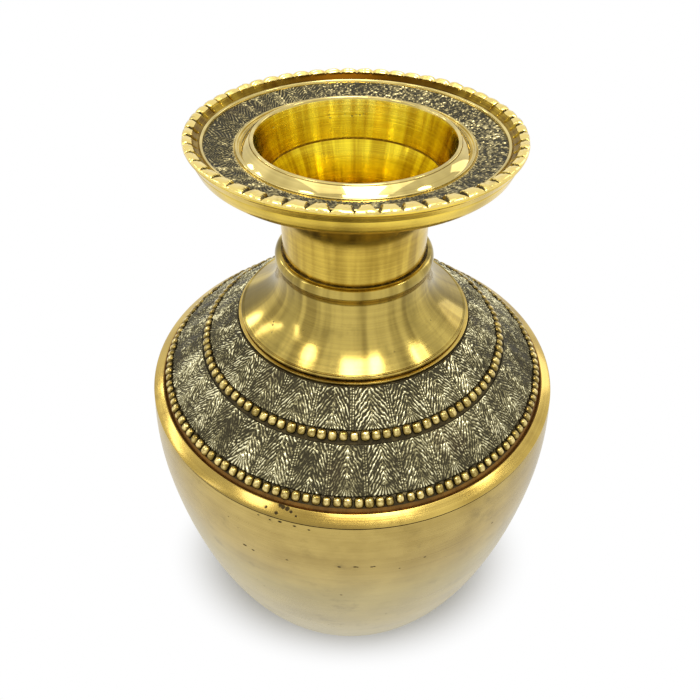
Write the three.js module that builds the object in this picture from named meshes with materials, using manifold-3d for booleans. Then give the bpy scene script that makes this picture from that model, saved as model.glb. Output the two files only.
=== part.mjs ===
// Brass water pot: a deep bowl, a cast shoulder with two beaded rings, a flared collar,
// a bell-topped neck tube and a dish-shaped mouth, each brazed to the next.
// Millimetres, +Z up, the pot stands on z = 0 and turns round the Z axis.

import * as THREE from 'three';
import { ConvexGeometry } from 'three/addons/geometries/ConvexGeometry.js';
import { mergeGeometries, mergeVertices } from 'three/addons/utils/BufferGeometryUtils.js';
import Module from 'manifold-3d';

const wasm = await Module();
wasm.setup();

// Fits shared by all the pieces
const clearance = 0.3;          // radial play of every spigot in its socket
const seamHeight = 0.5;         // height of a ring of filler metal between two castings
const seamRecess = 0.25;        // how far the filler lies back from the surface
const facets = 32;              // flats round every turned piece

// Bowl
const footRadius = 30;
const footRingWidth = 6;        // flat ring that the pot stands on
const footRecess = 1.2;         // hollow inside that ring
const bellyRadius = 61.8;
const bellyHeight = 94;
const bellyFullness = 1.8;      // how long the wall stays upright under the belly
const bottomRoundness = 0.545;  // how round the bottom is
const waistRadius = 60;
const bowlHeight = 113.75;
const bowlWall = 2.2;

// Shoulder
const shoulderRise = 21.35;     // from its lower face to the collar's seat
const shoulderCrown = 0.35;     // bulge of the carved cone over a straight line
const shoulderWall = 2.6;
const shoulderSpigot = 6;       // depth of the ring that drops into the bowl
const spigotWall = 2;
const bandWidth = 3.7;          // polished band outside the outer beads
const bandRise = 1.9;
const bandEdge = 0.7;           // rounded outer edge of that band
const grooveDepth = 0.5;        // groove between the band and the outer beads
const seatRadius = 32.6;        // ledge that the collar stands on
const seatStep = 0.7;

// Ornament cast on the shoulder
const beadHeight = 0.95;
const beadGap = 0.3;            // between two neighbours, at their roots
const innerBeadRadius = 42.7;   // of the ring through the beads
const innerBeadLength = 2.7;    // of one bead, along the slope
const innerBeadCount = 101;
const outerBeadInset = 1.2;     // from the foot of the cone in to the outer ring
const outerBeadLength = 2.3;
const outerBeadCount = 135;
const innerLeafCount = 25;
const innerLeafTurn = -90;      // degrees from +X to one rib between two leaves
const outerLeafCount = 35;
const outerLeafTurn = -96.3;
const leafMargin = 0.45;        // clear of the beads or the ledge at both ends of a leaf
const leafHeight = 0.6;         // of the needles at the leaf's spine
const ribHeight = 0.45;         // of the rib between two leaves
const needleDepth = 0.45;       // from a needle's crest to the groove beside it
const needlePitch = 2.4;        // between two needles, along the spine
const needleLean = 0.75;        // how far a needle runs down for each millimetre across
const rooting = 0.5;            // how far the ornament runs down into the wall

// Collar
const collarFootRadius = 31.8;
const collarFootEdge = 0.5;
const collarRise = 18.6;        // from its foot to the top of its roll
const rollRadius = 1.5;
const rollDrop = 1.35;          // from the top of the roll down to its centre
const rollOverhang = 0.75;      // how far the roll stands out over the flare
const collarWaist = 20.4;       // radius where the roll meets the flare
const flareFullness = 1.75;
const collarWall = 2;
const collarSpigot = 5;         // depth of the ring that drops into the shoulder's hole
const collarSpigotRadius = 28.3;
const neckSocket = 4.6;         // how deep the neck tube stands in the collar

// Neck tube
const neckRadius = 18.9;
const neckWall = 1.6;
const neckLength = 24;          // whole tube, from the collar's ledge to its bell's edge
const bellRadius = 23;
const bellHeight = 17;
const bellEdge = 1.4;           // flat land on the bell's upper edge
const neckFillet = 0.6;         // fillet of filler metal between the roll and the tube

// Mouth dish
const throatRadius = 23.5;      // bore at the lip
const throatLength = 10;
const lipTop = 0.6;             // flat land round the bore
const lipWidth = 3.6;
const lipHeight = 1.4;
const quirk = 0.25;             // sunk line at the foot of the lip
const dishFloorRise = 1.3;      // the floor climbs towards the rim
const rimRadius = 39.04;
const rimLand = 2.5;
const rimCove = 1.1;            // width of the cove between floor and rim
const rimHeight = 2.4;          // of the rim's top over the lip's top
const rimBevel = 0.4;
const notchCount = 54;
const notchInner = 1.25;        // depth at the inner edge of the rim's land
const notchOuter = 0.5;         // depth at the outer edge
const notchSpread = 0.8;        // half the width of a notch over its depth
const dishWallHeight = 5.8;
const dishWallLean = 2.1;
const dishPlate = 3;
const dishCorner = 0.9;
const skirtWall = 1.5;
const skirtDrop = 2.5;

// Heights that follow from the stack
const shoulderFoot = bowlHeight + seamHeight;
const seatTop = shoulderFoot + shoulderRise;
const collarFoot = seatTop + seamHeight;
const collarTop = collarFoot + collarRise;
const neckFoot = collarTop - neckSocket;
const neckTop = neckFoot + neckLength;
const throatFoot = neckTop + seamHeight;
const lipLevel = throatFoot + throatLength;
const rimLevel = lipLevel + rimHeight;

const point = (radius, height) => new THREE.Vector2(radius, height);

// Points of a curve given as a function of 0 to 1 and of the point's number
function curve(steps, at) {
  return Array.from({ length: steps + 1 }, (_, i) => at(i / steps, i));
}

// Points of a circular arc in the profile plane, angles from the outward direction
function arc(radius, height, size, from, to, steps) {
  return curve(steps, (t) => {
    const angle = from + (to - from) * t;
    return point(radius + size * Math.cos(angle), height + size * Math.sin(angle));
  });
}

// The same line moved sideways by a wall, to the left of its direction
function inset(line, wall) {
  return line.map((here, i) => {
    const before = line[Math.max(i - 1, 0)];
    const after = line[Math.min(i + 1, line.length - 1)];
    const along = after.clone().sub(before).normalize();
    return point(here.x - along.y * wall, here.y + along.x * wall);
  });
}

// A profile turned round Z. It runs up the outside and down the inside.
function turned(profile) {
  const first = profile[0];
  const last = profile[profile.length - 1];
  const onAxis = first.x === 0 && last.x === 0;
  const closed = onAxis ? profile : [...profile, first.clone()];
  return new THREE.LatheGeometry(closed, facets).rotateX(Math.PI / 2);
}

// A closed ring through cross sections that follow one another round Z
function ringThrough(sections) {
  const size = sections[0].length;
  const corner = (i, j) => (i % sections.length) * size + (j % size);
  const faces = sections.flatMap((section, i) => section.flatMap((_, j) => [
    corner(i, j), corner(i + 1, j), corner(i + 1, j + 1),
    corner(i, j), corner(i + 1, j + 1), corner(i, j + 1),
  ]));
  return new THREE.BufferGeometry().setFromPoints(sections.flat()).setIndex(faces);
}

// Copies of one form, evenly spaced round Z
function around(count, form) {
  const copies = Array.from({ length: count }, (_, i) => {
    const copy = form.clone();
    copy.deleteAttribute('normal');
    copy.deleteAttribute('uv');
    return copy.rotateZ((2 * Math.PI * i) / count);
  });
  return mergeGeometries(copies);
}

// The solid inside a closed surface. Faces that have shrunk to an edge are dropped.
function toSolid(geometry) {
  const bare = geometry.clone();
  bare.deleteAttribute('normal');
  bare.deleteAttribute('uv');
  const shared = mergeVertices(bare, 1e-5);
  const corners = shared.index.array;
  const faces = curve(corners.length / 3 - 1, (_, i) => corners.slice(3 * i, 3 * i + 3))
    .filter(([a, b, c]) => a !== b && b !== c && c !== a);
  return new wasm.Manifold(new wasm.Mesh({
    numProp: 3,
    vertProperties: new Float32Array(shared.attributes.position.array),
    triVerts: new Uint32Array(faces.flatMap((face) => [...face])),
  }));
}

function toGeometry(solid) {
  const mesh = solid.getMesh();
  const geometry = new THREE.BufferGeometry();
  geometry.setAttribute('position', new THREE.BufferAttribute(mesh.vertProperties, 3));
  geometry.setIndex(new THREE.BufferAttribute(mesh.triVerts, 1));
  geometry.computeVertexNormals();
  return geometry;
}

function joined(base, extras) {
  return toGeometry(extras.reduce((whole, extra) => whole.add(toSolid(extra)), toSolid(base)));
}

function cut(base, cutter) {
  return toGeometry(toSolid(base).subtract(toSolid(cutter)));
}

// A rectangular ring, as a ring of filler metal is
function flatRing(inner, outer, bottom, height) {
  return turned([
    point(inner, bottom),
    point(outer, bottom),
    point(outer, bottom + height),
    point(inner, bottom + height),
  ]);
}

// Bowl: a round bottom that fills out to the belly and draws in a little to the waist
function bowlSide(height) {
  if (height > bellyHeight) {
    const over = (height - bellyHeight) / (bowlHeight - bellyHeight);
    return bellyRadius - (bellyRadius - waistRadius) * over ** 2;
  }
  const rise = 1 - (1 - height / bellyHeight) ** bellyFullness;
  return footRadius + (bellyRadius - footRadius) * rise ** bottomRoundness;
}

function makeBowl() {
  const atHeight = (height) => point(bowlSide(height), height);
  const lower = curve(8, (t) => atHeight(bellyHeight * t ** 1.6));
  const upper = curve(2, (t) => atHeight(bellyHeight + (bowlHeight - bellyHeight) * t)).slice(1);
  const outside = [...lower, ...upper];
  const bottom = footRecess + bowlWall;
  const inside = inset(outside, bowlWall).filter((p) => p.y > bottom && p.y < bowlHeight - bowlWall);
  return turned([
    point(0, footRecess),
    point(footRadius - footRingWidth - footRecess, footRecess),
    point(footRadius - footRingWidth, 0),
    ...outside,
    point(waistRadius - bowlWall, bowlHeight),
    ...inside.reverse(),
    point(footRadius - footRingWidth, bottom),
    point(0, bottom),
  ]);
}

// Shoulder: a crowned cone between the collar's seat and the groove under the outer beads
const coneTop = point(seatRadius, seatTop - seatStep);
const coneFoot = point(waistRadius - bandWidth, shoulderFoot + bandRise);

function coneHeight(radius) {
  const t = (coneFoot.x - radius) / (coneFoot.x - coneTop.x);
  return coneFoot.y + (coneTop.y - coneFoot.y) * t + 4 * shoulderCrown * t * (1 - t);
}

// The cone's fall per unit of radius, as an angle
function coneSlope(radius) {
  const step = 0.1;
  return Math.atan((coneHeight(radius - step) - coneHeight(radius + step)) / (2 * step));
}

// A place on the cone: at a radius and an angle round Z, and lifted off the surface
function onCone(radius, angle, lift) {
  const slope = coneSlope(radius);
  const reach = radius + lift * Math.sin(slope);
  return new THREE.Vector3(
    reach * Math.cos(angle),
    reach * Math.sin(angle),
    coneHeight(radius) + lift * Math.cos(slope),
  );
}

// A ring of beads, each faceted to one point
function beadRing(radius, length, count) {
  const half = Math.PI / count - beadGap / 2 / radius;
  const ends = [radius - length / 2, radius + length / 2];
  return around(count, new ConvexGeometry([
    ...ends.flatMap((end) => [-half, half].map((side) => onCone(end, side, -rooting))),
    onCone(radius, 0, beadHeight),
  ]));
}

// A band of leaves. Needles run down from each leaf's spine to the ribs at its sides, so their
// crests zigzag round the band, from rib to spine to rib, and end at its two edges.
function leafBand(inner, outer, count, firstRib) {
  const length = outer - inner - 2 * leafMargin;
  const lean = (needleLean * Math.PI * (inner + outer)) / 2 / count;
  const steps = Math.round((2 * (length + lean)) / needlePitch);
  const needles = (angle, start, height, depth) => curve(steps, (t, i) => {
    const down = start + (length + lean) * (1 - t);
    const crest = down > 0.01 && down < length - 0.01 && i % 2;
    return onCone(
      inner + leafMargin + Math.min(Math.max(down, 0), length),
      angle,
      crest ? height : height - depth,
    );
  });
  return ringThrough(curve(2 * count - 1, (_, i) => {
    const angle = THREE.MathUtils.degToRad(firstRib) + (Math.PI * i) / count;
    const line = i % 2
      ? needles(angle, -lean, leafHeight, needleDepth)
      : needles(angle, 0, ribHeight, needleDepth / 2);
    return [
      onCone(outer - leafMargin, angle, -rooting),
      ...line,
      onCone(inner + leafMargin, angle, -rooting),
    ];
  }));
}

function makeShoulder() {
  const hole = collarSpigotRadius + clearance;
  const cone = curve(2, (t) => {
    const radius = coneFoot.x + (coneTop.x - coneFoot.x) * t;
    return point(radius, coneHeight(radius));
  });
  const under = inset(cone, shoulderWall).slice(0, -1);
  const socket = Math.min(waistRadius, bowlSide(bowlHeight - shoulderSpigot - bowlWall));
  const spigotOuter = socket - bowlWall - clearance;
  const spigotInner = spigotOuter - spigotWall;
  const bandOuter = waistRadius - bandEdge;
  const casting = turned([
    point(spigotInner, shoulderFoot - shoulderSpigot),
    point(spigotOuter, shoulderFoot - shoulderSpigot),
    point(spigotOuter, shoulderFoot),
    point(waistRadius, shoulderFoot),
    point(bandOuter, shoulderFoot + bandEdge / 2),
    point(coneFoot.x + grooveDepth, coneFoot.y),
    point(coneFoot.x, coneFoot.y - grooveDepth),
    ...cone,
    point(seatRadius, seatTop),
    point(hole, seatTop),
    point(hole, seatTop - shoulderWall),
    ...under.reverse(),
  ]);
  const outerBeadRadius = coneFoot.x - outerBeadInset;
  const innerEdge = innerBeadRadius - innerBeadLength / 2;
  const middleEdge = innerBeadRadius + innerBeadLength / 2;
  const outerEdge = outerBeadRadius - outerBeadLength / 2;
  return joined(casting, [
    beadRing(innerBeadRadius, innerBeadLength, innerBeadCount),
    beadRing(outerBeadRadius, outerBeadLength, outerBeadCount),
    leafBand(seatRadius, innerEdge, innerLeafCount, innerLeafTurn),
    leafBand(middleEdge, outerEdge, outerLeafCount, outerLeafTurn),
  ]);
}

// Collar: a thin foot, a flare like a bell and a half-round roll on top
function makeCollar() {
  const rollCentre = collarTop - rollDrop;
  const rollStart = Math.acos(1 - rollOverhang / rollRadius);
  const rollEnd = Math.asin(rollDrop / rollRadius);
  const flareTop = rollCentre - rollRadius * Math.sin(rollStart);
  const flareFoot = collarFoot + collarFootEdge;
  const flare = curve(7, (t) => {
    const angle = (Math.PI / 2) * (1 - t);
    const across = Math.cos(angle) ** (2 / flareFullness);
    const down = Math.sin(angle) ** (2 / flareFullness);
    return point(
      collarFootRadius - (collarFootRadius - collarWaist) * across,
      flareTop - (flareTop - flareFoot) * down,
    );
  });
  const bore = neckRadius + clearance;
  const ledge = neckRadius - neckWall;
  const rollRing = collarWaist + rollOverhang - rollRadius;
  const roll = arc(rollRing, rollCentre, rollRadius, -rollStart, rollEnd, 5).slice(1);
  const spigotInner = collarSpigotRadius - spigotWall;
  const inside = inset(flare, collarWall).filter(
    (p) => p.y < neckFoot - collarWall && p.y > collarFoot && p.x < spigotInner && p.x > ledge,
  );
  return turned([
    point(spigotInner, collarFoot - collarSpigot),
    point(collarSpigotRadius, collarFoot - collarSpigot),
    point(collarSpigotRadius, collarFoot),
    point(collarFootRadius, collarFoot),
    ...flare,
    ...roll,
    point(bore, roll[roll.length - 1].y),
    point(bore, neckFoot),
    point(ledge, neckFoot),
    point(ledge, neckFoot - collarWall),
    ...inside.reverse(),
    point(spigotInner, collarFoot),
  ]);
}

// Neck: a plain tube whose upper end opens like a bell under the mouth
function bell(from, to, bottom, height) {
  const turn = 2 * Math.atan((to - from) / height);
  const size = height / Math.sin(turn);
  return arc(from + size, bottom, size, Math.PI, Math.PI - turn, 3);
}

function makeNeck() {
  const bellFoot = neckTop - bellHeight;
  return turned([
    point(neckRadius - neckWall, neckFoot),
    point(neckRadius, neckFoot),
    ...bell(neckRadius, bellRadius, bellFoot, bellHeight),
    ...bell(neckRadius - neckWall, bellRadius - bellEdge, bellFoot, bellHeight).reverse(),
  ]);
}

// Mouth dish: throat, low lip, sloping floor, coved rim, and a skirt that slips over the bell
const throatFootRadius = bellRadius - bellEdge;
const lipFoot = throatRadius + lipTop + lipWidth;
const floorLevel = lipLevel - lipHeight;
const floorEdge = rimRadius - rimLand - rimCove;
const wallFoot = rimRadius - dishWallLean;

// A filed notch: a groove across the rim's land, deeper at its inner end
function notchCutter() {
  const overrun = 0.6;
  const ends = [
    [rimRadius - rimLand - overrun, notchInner + overrun * 0.2],
    [rimRadius + overrun, notchOuter],
  ];
  const points = ends.flatMap(([radius, depth]) => {
    const half = (depth + overrun) * notchSpread;
    return [
      new THREE.Vector3(radius, 0, rimLevel - depth),
      new THREE.Vector3(radius, -half, rimLevel + overrun),
      new THREE.Vector3(radius, half, rimLevel + overrun),
    ];
  });
  return new ConvexGeometry(points);
}

function makeDish() {
  const skirtInner = bellRadius + clearance;
  const skirtOuter = skirtInner + skirtWall;
  const skirtFoot = neckTop - skirtDrop;
  const wallLow = rimLevel - dishWallHeight;
  const under = floorLevel - dishPlate;
  const sweep = under - neckTop;
  const coveTop = rimLevel - rimBevel;
  const casting = turned([
    point(throatFootRadius, throatFoot),
    point(skirtInner, throatFoot),
    point(skirtInner, skirtFoot),
    point(skirtOuter, skirtFoot),
    ...arc(skirtOuter + sweep, neckTop, sweep, Math.PI, Math.PI / 2, 2),
    point(wallFoot - dishCorner, under),
    point(wallFoot, Math.max(wallLow, under + dishCorner)),
    point(rimRadius, coveTop),
    point(rimRadius - rimBevel, rimLevel),
    point(rimRadius - rimLand, rimLevel),
    ...curve(2, (t) => point(
      floorEdge + rimCove * Math.cos((t * Math.PI) / 2),
      coveTop - (coveTop - floorLevel - dishFloorRise) * Math.sin((t * Math.PI) / 2),
    )),
    point(lipFoot + quirk, floorLevel),
    point(lipFoot, floorLevel - quirk),
    point(lipFoot - quirk, floorLevel + quirk),
    ...curve(2, (t) => point(
      throatRadius + lipTop + (lipWidth - quirk) * (1 - t),
      lipLevel - (lipHeight - quirk) * (1 - t) ** 1.6,
    )).slice(1),
    point(throatRadius, lipLevel),
  ]);
  const notches = around(notchCount, notchCutter());
  return cut(casting, notches);
}

// Brass: pale and polished, or darkened where the casting is left in its recesses
const brass = (colour, roughness) => new THREE.MeshStandardMaterial({
  color: colour,
  roughness,
  metalness: 1,
});
const polished = brass(0xc9b060, 0.25);
const satin = brass(0xc2b27a, 0.4);
const antiqued = brass(0x8a7c4c, 0.55);
const filler = brass(0x5a4a2a, 0.7);

const pot = new THREE.Group();

function add(name, geometry, material) {
  const mesh = new THREE.Mesh(geometry, material);
  mesh.name = name;
  pot.add(mesh);
}

add('bowl', makeBowl(), satin);
add('waist_braze', flatRing(
  waistRadius - bowlWall, waistRadius - seamRecess, bowlHeight, seamHeight,
), filler);
add('shoulder', makeShoulder(), antiqued);
add('collar_braze', flatRing(
  collarSpigotRadius + clearance, collarFootRadius - seamRecess, seatTop, seamHeight,
), filler);
add('collar', makeCollar(), polished);
add('neck_braze', turned([
  point(neckRadius + clearance, collarTop),
  point(neckRadius + clearance + neckFillet, collarTop),
  point(neckRadius + clearance, collarTop + neckFillet),
]), filler);
add('neck_tube', makeNeck(), polished);
add('mouth_braze', flatRing(
  throatFootRadius + seamRecess, bellRadius, neckTop, seamHeight,
), filler);
add('mouth_dish', makeDish(), polished);

export default pot;
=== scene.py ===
"""Looks of the brass water pot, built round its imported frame.

Shapes are worked out in millimetres on grids of rows (along a profile) by columns (round the
Z axis) and become metres when a mesh is made. Nothing on the pot moves, so every piece rides
on the one body of the frame.
"""

import math

import bpy
import numpy as np
from mathutils import Euler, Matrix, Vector


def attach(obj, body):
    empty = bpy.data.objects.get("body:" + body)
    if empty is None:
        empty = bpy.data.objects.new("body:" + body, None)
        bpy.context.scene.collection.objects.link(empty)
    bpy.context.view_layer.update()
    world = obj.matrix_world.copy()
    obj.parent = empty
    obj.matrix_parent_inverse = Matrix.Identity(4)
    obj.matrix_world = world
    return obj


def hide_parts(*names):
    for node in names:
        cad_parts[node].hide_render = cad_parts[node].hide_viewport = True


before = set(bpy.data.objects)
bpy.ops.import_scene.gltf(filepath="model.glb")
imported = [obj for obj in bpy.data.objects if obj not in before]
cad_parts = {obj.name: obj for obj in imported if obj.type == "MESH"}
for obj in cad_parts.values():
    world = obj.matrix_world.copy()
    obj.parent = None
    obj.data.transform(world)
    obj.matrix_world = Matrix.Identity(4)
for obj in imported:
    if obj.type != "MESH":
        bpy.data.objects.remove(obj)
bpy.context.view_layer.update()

MM = 0.001

# ---- Sizes, in millimetres: the same stack of castings as the CAD part

FOOT_RADIUS = 30.0
FOOT_RING = 24.0
FOOT_RECESS = 1.2
BELLY_RADIUS = 61.8
BELLY_HEIGHT = 94.0
WAIST_RADIUS = 60.0
BOWL_TOP = 113.75
BOWL_WALL = 2.2
BOWL_SPIGOT = 57.5
SPIGOT_FOOT = 108.25
SEAM = 0.5
SHOULDER_FOOT = BOWL_TOP + SEAM
CONE_FOOT = (56.3, 116.15)
CONE_TOP = (32.6, 134.9)
CONE_CROWN = 0.35
SEAT_TOP = 135.6
COLLAR_FOOT = SEAT_TOP + SEAM
COLLAR_TOP = 154.7
COLLAR_RADIUS = 31.8
COLLAR_WAIST = 20.4
COLLAR_SPIGOT = 28.3
COLLAR_BORE = 19.28
COLLAR_LEDGE = 17.3
ROLL_RADIUS = 1.5
ROLL_HEIGHT = 2.1
ROLL_CENTRE = 152.75
NECK_RADIUS = 18.9
NECK_WALL = 1.6
NECK_FOOT = 150.1
NECK_TOP = 174.1
BELL_RADIUS = 23.0
BELL_WALL = 1.4
BELL_OUTSIDE = 10.6
BELL_INSIDE = 17.0
THROAT_RADIUS = 23.5
LIP_LEVEL = 184.6
LIP_FOOT = 27.7
FLOOR_LEVEL = 183.2
RIM_LEVEL = 187.0
NOTCHES = 54
NOTCH_RADIUS = 37.7
LEAF_RELIEF = 0.72
FLOOR_RELIEF = 0.34


# ---- Grids and meshes


def column_angles(columns):
    """The angle round Z of each of so many even columns."""
    return np.arange(columns) * (2 * np.pi / columns)


def on_circle(radius, angle, height):
    """Point (r cos a, r sin a, z) for each radius, angle and height."""
    return np.stack([radius * np.cos(angle), radius * np.sin(angle), height], axis=-1)


def turn(profile, columns):
    """Profile points (r, z) carried round Z."""
    angle = column_angles(columns)
    return on_circle(profile[:, 0, None], angle, profile[:, 1, None] + 0 * angle)


def arc_length(profile):
    """Distance along the profile from its first point, for lines that follow the turning."""
    step = np.hypot(*np.diff(profile, axis=0).T)
    return np.concatenate([[0.0], np.cumsum(step)])


def fillet(corners, steps=5):
    """Profile through corners (r, z, size), each cut off by a curve of that size.

    A corner C with neighbours A and B becomes the quadratic Bezier curve from
    C + size * unit(A - C) over C to C + size * unit(B - C); size 0 keeps the corner.
    """
    line = []
    t = np.linspace(0, 1, steps)[:, None]
    count = len(corners)
    for i, (r, z, size) in enumerate(corners):
        here = np.array([r, z])
        if size == 0:
            line.append(here[None])
            continue
        before = np.array(corners[i - 1][:2]) - here
        after = np.array(corners[(i + 1) % count][:2]) - here
        start = here + before / np.linalg.norm(before) * size
        end = here + after / np.linalg.norm(after) * size
        line.append((1 - t) ** 2 * start + 2 * t * (1 - t) * here + t**2 * end)
    return np.concatenate(line)


def bands(low, high):
    """Four-sided faces between closed rows of point numbers: (r,c) (r,c+1) (r+1,c+1) (r+1,c)."""
    corners = [low, np.roll(low, -1, axis=1), np.roll(high, -1, axis=1), high]
    return np.stack(corners, axis=-1).reshape(-1, 4)


def caps(index, first, last):
    """Triangles from the first and last row of point numbers to a point at each end."""
    below = [np.roll(index[0], -1), index[0], np.full(index.shape[1], first)]
    above = [index[-1], np.roll(index[-1], -1), np.full(index.shape[1], last)]
    return np.concatenate([np.stack(below, axis=-1), np.stack(above, axis=-1)])


def wrap_mesh(name, grid, poles=False, sharp=None, **attributes):
    """A closed mesh from grid[row, column]: columns close round the axis, rows close on
    themselves, or run from pole to pole when poles is set. Rows go up the outside, so that
    the faces point outwards."""
    rows, columns = grid.shape[:2]
    points = grid.reshape(-1, 3)
    index = np.arange(rows * columns).reshape(rows, columns)
    if not poles:
        quads = bands(index, np.roll(index, -1, axis=0))
        return build_mesh(name, points, quads, np.empty((0, 3), int), sharp, attributes)
    quads, fans = bands(index[:-1], index[1:]), caps(index, len(points), len(points) + 1)
    ends = np.array([[0, 0, grid[0, 0, 2]], [0, 0, grid[-1, 0, 2]]])
    attributes = {
        key: np.concatenate([value.ravel(), [value.flat[0], value.flat[-1]]])
        for key, value in attributes.items()
    }
    return build_mesh(name, np.concatenate([points, ends]), quads, fans, sharp, attributes)


def build_mesh(name, points, quads, triangles, sharp, attributes):
    """Puts arrays of points (mm), four- and three-sided faces and point values in a mesh."""
    mesh = bpy.data.meshes.new(name)
    corners = np.concatenate([quads.ravel(), triangles.ravel()]).astype(np.int32)
    sizes = np.concatenate([np.full(len(quads), 4), np.full(len(triangles), 3)])
    mesh.vertices.add(len(points))
    mesh.vertices.foreach_set("co", (points * MM).astype(np.float32).ravel())
    mesh.loops.add(len(corners))
    mesh.loops.foreach_set("vertex_index", corners)
    mesh.polygons.add(len(sizes))
    mesh.polygons.foreach_set(
        "loop_start", np.concatenate([[0], np.cumsum(sizes)[:-1]]).astype(np.int32)
    )
    for key, values in attributes.items():
        layer = mesh.attributes.new(key, "FLOAT", "POINT")
        layer.data.foreach_set("value", np.ravel(values).astype(np.float32))
    mesh.update(calc_edges=True)
    mesh.validate()
    mesh.shade_smooth()
    if sharp:
        mesh.set_sharp_from_angle(angle=math.radians(sharp))
    piece = bpy.data.objects.new(name, mesh)
    bpy.context.scene.collection.objects.link(piece)
    return piece


def turned_piece(name, profile, columns=288, poles=False, sharp=40):
    """A plain turned piece, with the distance along its profile kept for the turning lines."""
    grid = turn(profile, columns)
    along = np.repeat(arc_length(profile)[:, None], columns, axis=1)
    return wrap_mesh(name, grid, poles, sharp, along=along)


def value_noise(x, y, seed, wrap=0):
    """Random numbers -1 to 1 on a unit lattice, blended by 3t² - 2t³. wrap closes x."""
    table = np.random.default_rng(seed).uniform(-1, 1, (256, 256))
    x0, y0 = np.floor(x).astype(int), np.floor(y).astype(int)
    fx, fy = x - x0, y - y0
    fx, fy = fx * fx * (3 - 2 * fx), fy * fy * (3 - 2 * fy)
    x1 = x0 + 1
    if wrap:
        x0, x1 = x0 % wrap, x1 % wrap

    def corner(i, j):
        return table[(i + 37 * (i // 256)) % 256, j % 256]

    low = corner(x0, y0) * (1 - fx) + corner(x1, y0) * fx
    high = corner(x0, y0 + 1) * (1 - fx) + corner(x1, y0 + 1) * fx
    return low * (1 - fy) + high * fy


def ease(low, high, value):
    """0 below low, 1 above high, 3t² - 2t³ between."""
    t = np.clip((value - low) / (high - low), 0, 1)
    return t * t * (3 - 2 * t)


# ---- Bowl


def bowl_side(height):
    """Radius of the bowl: foot + (belly - foot) (1 - (1 - z/belly)^1.8)^0.545 up to the
    belly, and a shallow parabola in to the waist above it."""
    below = np.clip(height / BELLY_HEIGHT, 0, 1)
    lower = (1 - (1 - below) ** 1.8) ** 0.545
    over = np.clip((height - BELLY_HEIGHT) / (BOWL_TOP - BELLY_HEIGHT), 0, 1)
    return (
        FOOT_RADIUS
        + (BELLY_RADIUS - FOOT_RADIUS) * lower
        - (BELLY_RADIUS - WAIST_RADIUS) * over**2
    )


def bowl_profile():
    """Underside with its hollow, foot ring, side, top edge and the inside one wall in."""
    t = np.linspace(0, 1, 110)
    height = BOWL_TOP * t**1.5
    side = np.stack([bowl_side(height), height], axis=1)
    slope = np.gradient(side, axis=0)
    slope /= np.linalg.norm(slope, axis=1)[:, None]
    inside = side + BOWL_WALL * np.stack([-slope[:, 1], slope[:, 0]], axis=1)
    inside = inside[(inside[:, 1] > FOOT_RECESS + BOWL_WALL + 0.4) & (height < BOWL_TOP - 2)]
    under = [(0.02, FOOT_RECESS, 0), (FOOT_RING - 1.6, FOOT_RECESS, 1.0)]
    under = fillet([*under, (FOOT_RING, 0, 0.5), (FOOT_RADIUS - 1.0, 0, 0.0)])
    brim = WAIST_RADIUS - BOWL_WALL
    edge = np.array([[WAIST_RADIUS - 0.12, BOWL_TOP], [brim, BOWL_TOP], [brim, BOWL_TOP - 2]])
    floor = np.array([[FOOT_RING, FOOT_RECESS + BOWL_WALL], [0.02, FOOT_RECESS + BOWL_WALL]])
    side = side[(side[:, 0] > FOOT_RADIUS + 0.2) & (side[:, 1] < BOWL_TOP - 0.12)]
    return np.concatenate([under, side, edge, inside[::-1], floor])


# ---- Seams of filler metal


def seam_piece(name, inner, outer, low, high, rough, seed):
    """A ring of filler metal whose outer face is uneven: radius + rough * noise(angle)."""
    cells = 180
    angle = column_angles(4 * cells)
    profile = fillet([(inner, low, 0), (outer, low, 0.1), (outer, high, 0.1), (inner, high, 0)], 3)
    lumps = value_noise(angle * cells / (2 * np.pi), 0 * angle, seed, cells)
    lumps += 0.6 * value_noise(angle * 4 * cells / (2 * np.pi), 0 * angle + 5.5, seed, 4 * cells)
    radius, height = profile[:, 0, None], profile[:, 1, None]
    radius = radius + (radius > (inner + outer) / 2) * rough * lumps
    return wrap_mesh(name, on_circle(radius, angle, height + 0 * angle), sharp=60)


# ---- Shoulder: casting, beads and leaf bands


def cone_height(radius):
    """Height of the shoulder's cone: a straight line plus a crown of 4 c t (1 - t)."""
    t = (CONE_FOOT[0] - radius) / (CONE_FOOT[0] - CONE_TOP[0])
    return CONE_FOOT[1] + (CONE_TOP[1] - CONE_FOOT[1]) * t + 4 * CONE_CROWN * t * (1 - t)


def cone_slope(radius):
    """Fall of the cone per unit of radius, as an angle."""
    return np.arctan(10 * (cone_height(radius - 0.05) - cone_height(radius + 0.05)))


def on_cone(radius, angle, lift):
    """Point of the cone at a radius and angle, lifted along the cone's normal."""
    slope = cone_slope(radius)
    height = cone_height(radius) + lift * np.cos(slope)
    return on_circle(radius + lift * np.sin(slope), angle, height)


INNER_BEADS = {"radius": 42.5, "length": 2.35, "count": 101, "height": 1.0}
OUTER_BEADS = {"radius": 54.75, "length": 2.15, "count": 135, "height": 1.1}
INNER_BAND = (32.9, 41.45)
OUTER_BAND = (44.1, 53.75)


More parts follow.
